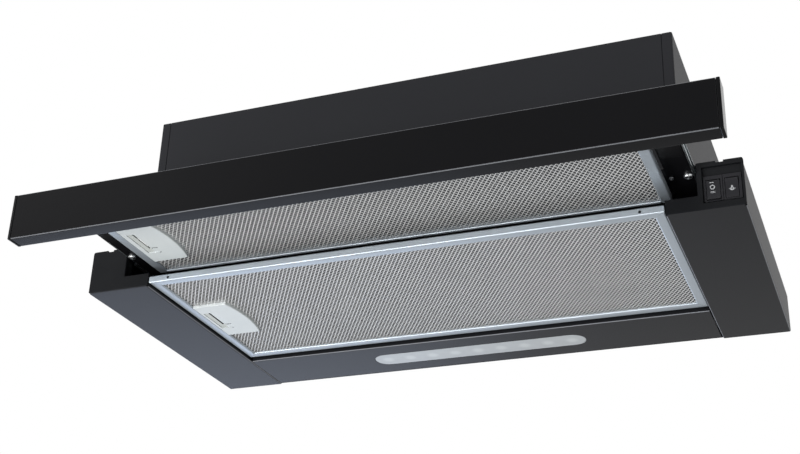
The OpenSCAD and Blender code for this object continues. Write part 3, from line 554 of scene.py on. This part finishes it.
def sloped(plan, left, middle, level, start, end, thickness):
    """A slab with a plan outline, in mm from a handle's left edge and middle, whose face slopes along X."""
    bm = bmesh.new()
    (x0, z0), (x1, z1) = start, end
    for lift in (0, thickness):
        outline = []
        for x, y in plan:
            z = z0 + (x - x0) * (z1 - z0) / (x1 - x0) + lift
            outline.append(bm.verts.new((left + x * MM, middle + y * MM, level + z * MM)))
        bm.faces.new(outline)
    bmesh.ops.bridge_loops(bm, edges=bm.edges[:])
    bmesh.ops.recalc_face_normals(bm, faces=bm.faces)
    round_edges(bm, sharp_edges(bm, 40), 0.12 * MM, 2)
    return bm


def handle_plate(left, middle, base, top, shift):
    """A handle's plate: a bulging edge, and a V-shaped finger pocket behind an L-shaped slit."""
    straight, bulge, half, wall = 34.5 * MM, 5 * MM, HANDLE_HALF, 1.2 * MM
    radius = (half * half + bulge * bulge) / (2 * bulge)
    centre = left + straight + bulge - radius
    steps = 24
    arc = [half - 2 * half * i / steps for i in range(steps + 1)]
    curve = [(centre + (radius ** 2 - y * y) ** 0.5, middle + y) for y in reversed(arc)]
    outline = [(left, middle - half), *curve, (left, middle + half)]
    bm = bmesh.new()
    face = bm.faces.new([bm.verts.new((x, y, base)) for x, y in outline])
    rim = points_of(bmesh.ops.extrude_edge_only(bm, edges=face.edges[:]))
    bmesh.ops.translate(bm, vec=(0, 0, top - base), verts=rim)
    turn_out(bm, Vector((left + straight / 2, middle, (base + top) / 2)))
    round_edges(bm, sharp_edges(bm, 25), 0.8 * MM, 4)
    below, above = base - 1 * MM, base + 0.1 * MM
    # Places in mm from the left edge and the middle
    valley, crease, pocket_end = 9.8 + shift, 17 + shift, 17.5
    slope_end = crease + 0.3
    pocket = ((3 + shift, -21), (crease, pocket_end))
    pin_hole = ((14.4 + shift, 17.7), (15.9 + shift, 18.7))
    for (x0, y0), (x1, y1) in (pocket, pin_hole):
        window(bm, (left + x0 * MM, middle + y0 * MM, below), (left + x1 * MM, middle + y1 * MM, above))
    thicken(bm, wall)
    slopes = []
    for start, end in ((-20.9, 8.6), (10.2, pocket_end)):
        plan = [(valley, start), (slope_end, start), (slope_end, end), (valley, end)]
        slopes.append(sloped(plan, left, middle, base, (valley, 0.32), (crease, 0.0), 0.4))
    return joined([bm, *slopes])


def latch_slide(node, left, middle, base, shift):
    """A latch: a slope for the fingers, the slide behind it and the tongue."""
    low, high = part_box(node)
    # The slope's L-shaped plan, in mm from the handle's left edge and middle
    start, step, end = 3.2 + shift, 7.3 + shift, 9.5 + shift
    foot, ledge, head = -20.8, 10.4, 17.3
    plan = [(start, foot), (step, foot), (step, ledge), (end, ledge), (end, head), (start, head)]
    ramp = sloped(plan, left, middle, base, (start, 0.4), (end, 1.1), 0.4)
    slide_start, slide_end = left + 4.2 * MM, left + 5.6 * MM
    slide = rounded_block((slide_start, middle - 20.5 * MM, base + 1.2 * MM),
                          (slide_end, middle + 16 * MM, base + 4.6 * MM), 0.2 * MM)
    tongue = rounded_block((low.x, middle - 7 * MM, max(high.z - 2 * MM, base + 2.6 * MM)),
                           (slide_end, middle + 7 * MM, high.z), 0.2 * MM)
    return joined([ramp, slide, tongue])


def filter_hooks(row, width, middle, base):
    """Tabs on a filter's right: the rear one's rest in the wing, the front one's on the slider member."""
    if row == "rear":
        spread, root, top = REAR_HOOK_SPREAD, 5 * MM, base + RAIL_HEIGHT
        bottom = base + RAIL_HEIGHT - 0.8 * MM
    else:
        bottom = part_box("right_slider_member")[0].z + 1.4 * MM
        spread, root, top = 30 * MM, 2 * MM, bottom + 1 * MM
    half, reach = 6 * MM, 4.5 * MM
    hooks = []
    for spot in (-1, 1):
        y = middle + spot * spread
        hooks.append(rounded_block((width / 2 - root, y - half, bottom), (width / 2 + reach, y + half, top),
                                   0.2 * MM))
    return joined(hooks)


def make_filter(row, width, depth, body, pitch, rear_flange, shift):
    """One grease filter: frame, three layers of expanded mesh, handle and latch."""
    low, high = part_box(row + "_filter_frame")
    base = low.z
    front, back = (high.y + low.y - depth) / 2, (high.y + low.y + depth) / 2
    middle = Vector((0, (front + back) / 2, base))
    bars = filter_frame(width, depth, middle, RAIL_HEIGHT, rear_flange)
    rails = piece(row + "_filter_rails", bars, MILL_ALUMINIUM, body, [row + "_filter_frame"])
    hooks = filter_hooks(row, width, middle.y, base)
    piece(row + "_filter_hooks", hooks, BLACK_OXIDE, body)
    hole_x, hole_z = width / 2 - 19.5 * MM, base + RAIL_HEIGHT / 2
    holes = [rod(1.3 * MM, Y, front - 2 * MM, front + 2 * MM, (side * hole_x, hole_z)) for side in (-1, 1)]
    drill(rails, joined(holes))

    left = -width / 2 + FLANGE
    hidden_width, hidden_half = 31 * MM, HANDLE_HALF - 3.2 * MM

    def behind_handle(point):
        return point.x < left + hidden_width and abs(point.y - middle.y) < hidden_half

    tuck = 0.8 * MM
    inner_low = (left - tuck, front + FLANGE - tuck)
    inner_high = (width / 2 - FLANGE + tuck, back - rear_flange + min(tuck, rear_flange / 3))
    coarse = (7.1 * MM, 3.75 * MM)
    face_level = base + LIP - 0.1 * MM
    # The core and back layers take the darker aluminium, as painted shade
    layers = [("face", pitch, 0.72 * MM, face_level, STRAND_ALUMINIUM),
              ("core", coarse, 0.8 * MM, face_level + 2.7 * MM, SHADED_INNER_ALUMINIUM),
              ("back", pitch, 1.0 * MM, base + RAIL_HEIGHT - LIP, SHADED_INNER_ALUMINIUM)]
    for layer, spacing, strand, level, metal in layers:
        sheet = expanded_sheet(inner_low, inner_high, spacing, strand, level, behind_handle)
        made = piece(f"{row}_filter_{layer}_mesh", sheet, metal, body,
                     [row + "_filter_mesh"] if layer == "face" else [], sharp=20)
        made.modifiers.clear()

    handle_low, handle_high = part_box(row + "_filter_handle")
    plate = handle_plate(left, middle.y, handle_low.z, handle_high.z, shift)
    piece(row + "_filter_handle_plate", plate, GREY_ABS, body, [row + "_filter_handle"])
    latch = latch_slide(row + "_filter_latch", left, middle.y, handle_low.z, shift)
    piece(row + "_filter_latch_slide", latch, SHADED_LATCH_ABS, row + "_latch", [row + "_filter_latch"])
    # A dark pin nearly flush in each handle's small hole: painted shade of the hole
    shade_pin_radius, shade_pin_proud, shade_pin_depth = 0.8 * MM, 0.03 * MM, 1.6 * MM
    shade_pin_place = (left + (14.6 + shift) * MM, middle.y + 18.2 * MM)
    shade_pin = rod(shade_pin_radius, Z, handle_low.z - shade_pin_proud, handle_low.z + shade_pin_depth, shade_pin_place, 24)
    piece(row + "_filter_handle_shade_pin", shade_pin, BLACK_OXIDE, body)


# ---- Base ----

def make_wings():
    for side, node in ((-1, "left_wing_cover"), (1, "right_wing_cover")):
        low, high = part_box(node)
        inner, outer = sorted((abs(low.x), abs(high.x)))
        upstand, wall_front, inside = 12 * MM, low.y + 2.5 * MM, 18 * MM
        profile = [(inner, upstand), (inner, low.z), (outer, low.z), (outer, high.z)]
        bm = folded(profile, Y, wall_front, high.y, ((inner + outer) / 2, inside))

        # The bottom runs on under the end cap
        def at_toe(vert):
            return abs(vert.co.y - wall_front) + abs(vert.co.z - low.z) < 0.01 * MM

        toe = [e for e in bm.edges if all(at_toe(v) for v in e.verts)]
        end = points_of(bmesh.ops.extrude_edge_only(bm, edges=toe))
        bmesh.ops.translate(bm, vec=(0, low.y - wall_front, 0), verts=end)
        # Openings in the upstand: one for the latch's tongue on the left, two for the hooks on the right
        handle_low, handle_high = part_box("rear_filter_handle")
        middle = (handle_low.y + handle_high.y) / 2
        if side < 0:
            openings = [(middle, 9 * MM, 4.4 * MM, 8.8 * MM)]
        else:
            openings = [(middle + spot * REAR_HOOK_SPREAD, 7 * MM, 7.4 * MM, 14 * MM) for spot in (-1, 1)]
        for y, half, bottom, top in openings:
            window(bm, (inner - 2 * MM, y - half, bottom), (inner + 2 * MM, y + half, top))
        turn_out(bm, Vector(((inner + outer) / 2, (low.y + high.y) / 2, inside)))
        thicken(bm, burr=CUT_EDGE)
        piece(node + "_sheet", bm if side > 0 else mirrored(bm), POWDER_COAT, "base", [node])


def make_end_mouldings():
    softened("left_end_cap", BLACK_ABS, 0.5 * MM, segments=3)
    softened("control_box", BLACK_ABS, 0.45 * MM, segments=3)
    for name in ("speed_switch", "light_switch"):
        softened(name, ROCKER_PA, 0.35 * MM)


def make_lamp():
    low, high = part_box("lamp_panel")
    lens_low, lens_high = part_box("lamp_lens")
    half, flange = 235 * MM, 12 * MM
    length, width, middle = 220 * MM, 27 * MM, (lens_low.y + lens_high.y) / 2
    # The lens stands back a hair from the panel's face, with a gap all round and a wider seat behind
    setback, gap, seat_rim = 0.02 * MM, 0.6 * MM, 5 * MM
    profile = [(low.y, flange), (low.y, low.z), (high.y, low.z), (high.y, flange)]
    bm = folded(profile, X, -half, half, ((low.y + high.y) / 2, 8 * MM))
    thicken(bm, burr=CUT_EDGE)
    # A lug at each end reaches in over the wing
    lug_overlap, lug_front, lug_back, lug_top = 14 * MM, low.y + 20 * MM, low.y + 44 * MM, 3 * MM
    lugs = bmesh.new()
    for side in (-1, 1):
        ends = sorted((side * (half - lug_overlap), side * (high.x - 0.3 * MM)))
        block(lugs, (ends[0], lug_front, SHEET), (ends[1], lug_back, lug_top))
    panel = piece("lamp_panel_sheet", joined([bm, lugs]), POWDER_COAT, "base", ["lamp_panel"])
    drill(panel, stadium(length + gap, width + gap, middle, low.z - 2 * MM, low.z + 2.9 * MM))
    face = lens_low.z + setback
    lens = stadium(length, width, middle, face, 1.6 * MM)
    rim = [e for e in lens.edges if all(abs(v.co.z - face) < 0.01 * MM for v in e.verts)]
    round_edges(lens, rim, 0.5 * MM, 3)
    seat = stadium(length + seat_rim, width + seat_rim, middle, 1.05 * MM, 2.5 * MM)
    piece("lamp_lens_moulding", joined([lens, seat]), LENS, "base", ["lamp_lens"])


def stadium(length, width, middle, start, end):
    """A flat bar with round ends along X."""
    radius, straight = width / 2, (length - width) / 2
    steps = 24
    outline = []
    for side in (1, -1):
        for i in range(steps + 1):
            angle = pi * i / steps - pi / 2
            outline.append((side * (straight + radius * cos(angle)), middle + side * radius * sin(angle)))
    return drawn_out(outline, Z, start, end)


# ---- Switches ----

# How far a rocker's axle stands out at each end
AXLE_REACH = 1.1 * MM
# In mm: half a rocker's height, and how far its printed ink stands proud and reaches in
ROCKER_HALF = 8.3
INK = 0.04
INK_ROOT = 0.3


def rocker_face(height):
    """How far a rocker's V-shaped face stands from its pivot at a height from its middle, in mm."""
    valley, rise = -2.2, 1.2
    return valley - rise * abs(height) / ROCKER_HALF


def make_rocker(node, tilt, marks):
    """A rocker with its printed marks, turned about its pivot."""
    low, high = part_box(node)
    joint = next(j for j in frame["joints"] if j["child"] == node)
    pivot = Vector(joint["pos_m"])
    top, face_end, nose = ROCKER_HALF, 7.9, 8.2
    outline = [(rocker_face(-face_end), -face_end), (rocker_face(0), 0), (rocker_face(face_end), face_end),
               (-2.9, nose), (1, top), (2, 5), (2, -5), (1, -top), (-2.9, -nose)]
    half = (high.x - low.x) / 2 - AXLE_REACH
    body = drawn_out([(y * MM, z * MM) for y, z in outline], X, -half, half, 0.3 * MM)
    drum = rod(4.4 * MM, X, 0.5 * MM - half, half - 0.5 * MM, (2.5 * MM, 0))
    axle = rod(1.5 * MM, X, -half - AXLE_REACH, half + AXLE_REACH, (0, 0))
    ink = joined(marks)
    for vert in ink.verts:
        vert.co.y += rocker_face(vert.co.z / MM) * MM
    place = Matrix.Translation(pivot) @ Matrix.Rotation(tilt, 4, "X")
    for name, bm, material, nodes in ((node + "_key", joined([body, drum, axle]), ROCKER_PA, [node]),
                                      (node + "_marks", ink, PRINTED_INK, [])):
        bmesh.ops.transform(bm, verts=bm.verts, matrix=place)
        piece(name, bm, material, node, nodes)


def dash(width, height, middle, across=0.0):
    """A printed bar on a rocker's face. Sizes in mm from the pivot."""
    bm = bmesh.new()
    block(bm, ((across - width / 2) * MM, -INK * MM, (middle - height / 2) * MM),
          ((across + width / 2) * MM, INK_ROOT * MM, (middle + height / 2) * MM))
    return bm


def ring(outer, inner, middle, across=0.0, start=0.0, sweep=2 * pi):
    """A printed ring, or an arc of one, on a rocker's face."""
    bm = bmesh.new()
    section = [(inner, -INK), (outer, -INK), (outer, INK_ROOT), (inner, INK_ROOT)]
    bm.faces.new([bm.verts.new((r * MM, y * MM, 0)) for r, y in section])
    bmesh.ops.rotate(bm, verts=bm.verts, matrix=Matrix.Rotation(start, 3, "Y"))
    bmesh.ops.spin(bm, geom=bm.verts[:] + bm.edges[:] + bm.faces[:], axis=(0, 1, 0), angle=sweep, steps=28,
                   use_merge=sweep == 2 * pi)
    bmesh.ops.remove_doubles(bm, verts=bm.verts, dist=0.001 * MM)
    bmesh.ops.recalc_face_normals(bm, faces=bm.faces)
    bmesh.ops.translate(bm, vec=(across * MM, 0, middle * MM), verts=bm.verts)
    return bm


def make_switches():
    # Off, first speed above it and second speed below, all printed left of the middle
    across = -0.6
    speed_marks = [dash(3.5, 0.6, 6.25, across - 0.4), ring(1.95, 1.25, 2.45, across),
                   dash(3.7, 0.5, -1.5, across + 0.1), dash(3.7, 0.42, -2.5, across + 0.1)]
    make_rocker("speed_rocker", 0, speed_marks)
    # A hanging lamp: its cap, its bowl with the bulb's hole, and a ray at each side
    bulb = -0.3
    lamp_marks = [dash(1.2, 1.4, bulb + 1.6), ring(1.2, 0.62, bulb), ring(1.85, 1.1, bulb, start=0, sweep=pi),
                  dash(0.9, 0.55, bulb - 0.3, 1.9), dash(0.9, 0.55, bulb - 0.3, -1.9)]
    make_rocker("light_rocker", radians(7), lamp_marks)


# ---- Housing ----

def make_housing():
    low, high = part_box("housing_right")
    outer, flange, back_flange = high.x, 9 * MM, 14 * MM
    # Holes for the screws into the cabinet's sides
    hole_radius, hole_z, hole_places = 2.25 * MM, 142 * MM, (-30 * MM, 150 * MM)
    for side, node in ((-1, "housing_left"), (1, "housing_right")):
        profile = [(outer - flange, low.y), (outer, low.y), (outer, high.y), (outer - back_flange, high.y)]
        bm = folded(profile, Z, low.z, high.z, (outer - 5 * MM, (low.y + high.y) / 2), bend=1.6 * MM)
        thicken(bm, burr=CUT_EDGE)
        foot = bmesh.new()
        block(foot, (outer - back_flange, low.y + 16 * MM, low.z),
              (outer - SHEET, high.y - SHEET, low.z + SHEET))
        bm = joined([bm, foot])
        made = piece(node + "_sheet", bm if side > 0 else mirrored(bm), HOUSING_COAT, "base", [node])
        holes = [rod(hole_radius, X, side * (outer - 3 * MM), side * (outer + 3 * MM), (y, hole_z))
                 for y in hole_places]
        drill(made, joined(holes))
    low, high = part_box("housing_front")
    half = outer - flange - 0.35 * MM
    foot = low.y + 15 * MM
    bm = folded([(low.y, high.z), (low.y, low.z), (foot, low.z)], X, -half, half, (foot, high.z))
    thicken(bm, burr=CUT_EDGE)
    # A strip behind each upright seam joins the front to the sides' flanges
    strip_in, strip_out, strip_bottom, strip_top = 8 * MM, 6 * MM, low.z + 4 * MM, high.z - 3 * MM
    strips = bmesh.new()
    for side in (-1, 1):
        ends = sorted((side * (half - strip_in), side * (half + strip_out)))
        block(strips, (ends[0], low.y + SHEET, strip_bottom), (ends[1], low.y + 2 * SHEET, strip_top))
    piece("housing_front_sheet", joined([bm, strips]), HOUSING_COAT, "base", ["housing_front"])
    softened("housing_back", HOUSING_COAT, 0.3 * MM)
    softened("housing_top", HOUSING_COAT, 0.3 * MM)
    softened("base_deck", HOUSING_COAT, 0.35 * MM)


def make_outlet():
    """The duct collar, turned from its profile, and the flaps in it."""
    low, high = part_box("outlet_collar")
    centre = (low + high) / 2
    flange_r, outer_r, inner_r, ledge_r = (high.x - low.x) / 2, 60 * MM, 57.5 * MM, 54.5 * MM
    flange_top, ledge_top = low.z + 2 * MM, 188.1 * MM
    profile = [(ledge_r, low.z), (flange_r, low.z), (flange_r, flange_top), (outer_r, flange_top),
               (outer_r, high.z), (inner_r, high.z), (inner_r, ledge_top), (ledge_r, ledge_top)]
    bm = turned(profile, 96)
    round_edges(bm, sharp_edges(bm, 40), 0.5 * MM, 3)
    bmesh.ops.translate(bm, vec=(centre.x, centre.y, 0), verts=bm.verts)
    piece("outlet_collar_ring", bm, BLACK_ABS, "base", ["outlet_collar"])
    for name in ("left_flap", "right_flap"):
        softened(name, DARK_PP, 0.2 * MM)
    softened("cable_gland", BLACK_ABS, 0.4 * MM)


def pan_head(centre, radius, height):
    """A pan head without its recess, facing down. It is flatter than a ball, so its curve has a low power."""
    steps, power = 6, 0.6
    angles = [pi / 2 * i / steps for i in range(steps + 1)]
    curve = [(radius * sin(a), -height * cos(a) ** power) for a in angles]
    bm = turned([*curve, (0, 0)], 32, closed=False)
    bmesh.ops.translate(bm, vec=centre, verts=bm.verts)
    return bm


def eyelet(centre, radius, height, hole):
    """A hollow rivet's rolled rim, facing down."""
    rim = (radius - hole) / 2
    steps = 8
    angles = [pi * i / steps for i in range(steps + 1)]
    bm = turned([(hole + rim - rim * cos(a), -height * sin(a)) for a in angles], 28)
    bmesh.ops.translate(bm, vec=centre, verts=bm.verts)
    return bm


def make_screws():
    """The slider's screws and rivets, on both sides. Each screw gets a cross recess."""
    screw_x, rivet_x, shank = 255.8 * MM, 242.4 * MM, 1.7 * MM
    slot_length, slot_width, first_turn = 2.1 * MM, 0.45 * MM, 0.4
    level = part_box("right_slider_member")[0].z
    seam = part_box("right_wing_cover")[0].y
    heads, rivets, slots = [], [], []
    for side in (-1, 1):
        centre = Vector((side * screw_x, seam, level))
        heads.append(pan_head(centre, 3.9 * MM, 2.5 * MM))
        heads.append(rod(shank, Z, level, level + 4 * MM, centre[:2]))
        rivets.append(eyelet(Vector((side * rivet_x, seam, level)), 2.2 * MM, 1.1 * MM, 1.1 * MM))
        rivets.append(rod(shank, Z, level + 0.2 * MM, level + 2 * MM, (side * rivet_x, seam)))
        for turn in (first_turn, first_turn + pi / 2):
            bar = bmesh.new()
            block(bar, (-slot_length, -slot_width, -3 * MM), (slot_length, slot_width, -1.2 * MM))
            place = Matrix.Translation(centre) @ Matrix.Rotation(turn, 4, "Z")
            bmesh.ops.transform(bar, verts=bar.verts, matrix=place)
            slots.append(bar)
    made = piece("slider_screw_heads", joined(heads), NICKEL_PLATE, "slider", ["slider_screws"])
    for bar in slots:
        drill(made, bar)
    piece("slider_rivets", joined(rivets), PHOSPHATE, "slider")


# ---- Nodes that keep their CAD shape ----

KEPT = {
    "led_board": SOLDER_MASK, "lamp_tray": ZINC_PLATE, "led_driver": WHITE_PA,
    "left_runner": ZINC_PLATE, "right_runner": ZINC_PLATE, "left_liner": BLACK_ABS, "right_liner": BLACK_ABS,
    "housing_screws": BLACK_OXIDE, "collar_screws": BLACK_OXIDE, "fan_scroll": DARK_PP, "impeller": WHITE_PA,
    "motor": MOTOR_SHELL, "motor_shaft": NICKEL_PLATE, "motor_bracket": ZINC_PLATE, "capacitor": WHITE_PA,
    "terminal_box": WHITE_PA, "flap_pins": NICKEL_PLATE, "micro_switch": BLACK_ABS,
    "switch_plunger": RED_ACETAL,
}


def dress_kept_nodes():
    for name, material in KEPT.items():
        mesh = frame["nodes"][name].data
        mesh.materials.clear()
        mesh.materials.append(material)


# ---- Light and floor ----

def area_light(name, position, target, size, power, tone="#ffffff"):
    """A soft rectangular lamp that faces a point."""
    data = bpy.data.lights.new(name, "AREA")
    data.shape = "RECTANGLE"
    data.size, data.size_y = size
    data.energy = power
    data.color = colour(tone)[:3]
    lamp = bpy.data.objects.new(name, data)
    lamp.location = position
    lamp.rotation_euler = (Vector(target) - Vector(position)).to_track_quat("-Z", "Y").to_euler()
    scene.collection.objects.link(lamp)


def make_studio():
    """White to the eye and in reflections, with a plainer level of light from all round."""
    fill, floor_z, floor_half = 0.45, -2.5, 6
    world = bpy.data.worlds.new("studio")
    scene.world = world
    world.use_nodes = True
    sky = world.node_tree.nodes["Background"]
    sky.inputs["Color"].default_value = (1, 1, 1, 1)
    path = add(world, "ShaderNodeLightPath")
    seen = path.outputs["Is Camera Ray"]
    for other in ("Is Glossy Ray", "Is Transmission Ray"):
        seen = add(world, "ShaderNodeMath", {0: seen, 1: path.outputs[other]}, operation="MAXIMUM").outputs[0]
    level = add(world, "ShaderNodeMapRange", {"Value": seen, "To Min": fill, "To Max": 1.0})
    world.node_tree.links.new(level.outputs["Result"], sky.inputs["Strength"])

    floor = bmesh.new()
    bmesh.ops.create_grid(floor, x_segments=1, y_segments=1, size=floor_half)
    bmesh.ops.translate(floor, vec=(0, 0, floor_z), verts=floor.verts)
    mesh = bpy.data.meshes.new("floor")
    floor.to_mesh(mesh)
    floor.free()
    paint = finish_of("pale studio floor", "#e9e9e9", 0.8, tint="#e6e6e6", patch=1, grain=5 * MM)
    mesh.materials.append(paint)
    ground = bpy.data.objects.new("floor", mesh)
    scene.collection.objects.link(ground)

    area_light("key from the lower left", (-1.1, -1.2, -1.3), (0, 0, 0.05), (0.9, 0.6), 20)
    area_light("strip in front, under the lens", (-0.5, -1.9, -0.85), (0, 0, 0.03), (1.2, 0.6), 25)
    area_light("fill from the lower right", (1.5, -1.6, -0.9), (0, 0, 0.05), (1.0, 1.0), 4)
    area_light("window low at the back left", (-1.5, 2.3, -0.5), (0, 0, 0), (1.5, 1.1), 13, "#cfe0ff")
    area_light("window high at the front left", (-1.9, -2.0, 1.5), (0, 0, 0.1), (1.0, 1.0), 6)
    area_light("top light", (0.3, -0.6, 2.2), (0, 0, 0.1), (1.6, 1.2), 20)


make_camera()
make_studio()
make_fascia()
make_slider_frame()
make_filter("rear", 470.2 * MM, 202.5 * MM, "base", (3.66 * MM, 5.97 * MM), FLANGE, 0)
make_filter("front", 477 * MM, 121 * MM, "slider", (4.03 * MM, 6.1 * MM), 1.2 * MM, 2)
make_wings()
make_end_mouldings()
make_lamp()
make_switches()
make_housing()
make_outlet()
make_screws()
dress_kept_nodes()
